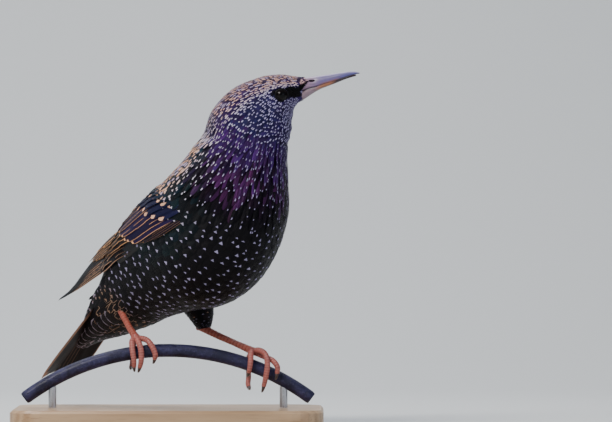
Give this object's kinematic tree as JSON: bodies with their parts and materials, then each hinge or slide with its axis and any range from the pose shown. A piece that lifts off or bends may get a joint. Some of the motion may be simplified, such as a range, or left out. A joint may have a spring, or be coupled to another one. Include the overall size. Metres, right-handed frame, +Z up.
{
  "type": "bird model on a perch",
  "caption": "Life-size still model of a spotted starling in winter plumage, gripping a short bent rod that stands on a flat base.",
  "frame": {"origin": "on the underside of the base, under the middle of the perch", "axes": "+X along the perch to the end that the bill points at, -Y to the side that the bird shows, +Z up"},
  "size_m": [0.156, 0.0956, 0.159],
  "materials": {
    "torso": "dark glossy plumage with pale tips to the feathers",
    "neck": "dark glossy plumage with pale tips to the feathers",
    "head": "dark glossy plumage with pale tips to the feathers",
    "tail": "dark glossy plumage with pale tips to the feathers",
    "wing_left": "dark glossy plumage with pale tips to the feathers",
    "wing_right": "dark glossy plumage with pale tips to the feathers",
    "upper_bill": "grey-lavender horn, satin",
    "lower_bill": "grey-lavender horn, satin",
    "eye_left": "very dark brown, polished",
    "eye_right": "very dark brown, polished",
    "thigh_left": "dark glossy plumage with pale tips to the feathers",
    "leg_left": "red-brown scales",
    "leg_right": "red-brown scales",
    "foot_left": "red-brown scales",
    "foot_right": "red-brown scales",
    "claw_left_1": "dark horn",
    "claw_left_2": "dark horn",
    "claw_left_3": "dark horn",
    "claw_left_4": "dark horn",
    "claw_right_1": "dark horn",
    "claw_right_2": "dark horn",
    "claw_right_3": "dark horn",
    "claw_right_4": "dark horn",
    "perch": "dark blue-violet paint, slightly rough",
    "stand_base": "pale wood, satin",
    "stand_rod_left": "thin steel rod",
    "stand_rod_right": "thin steel rod"
  },
  "bodies": {
    "root": {"torso": "torso", "neck": "neck", "head": "head", "tail": "tail", "wing_left": "wing_left", "wing_right": "wing_right", "upper_bill": "upper_bill", "lower_bill": "lower_bill", "eye_left": "eye_left", "eye_right": "eye_right", "thigh_left": "thigh_left", "leg_left": "leg_left", "leg_right": "leg_right", "foot_left": "foot_left", "foot_right": "foot_right", "claw_left_1": "claw_left_1", "claw_left_2": "claw_left_2", "claw_left_3": "claw_left_3", "claw_left_4": "claw_left_4", "claw_right_1": "claw_right_1", "claw_right_2": "claw_right_2", "claw_right_3": "claw_right_3", "claw_right_4": "claw_right_4", "perch": "perch", "stand_base": "stand_base", "stand_rod_left": "stand_rod_left", "stand_rod_right": "stand_rod_right"}
  },
  "joints": []
}
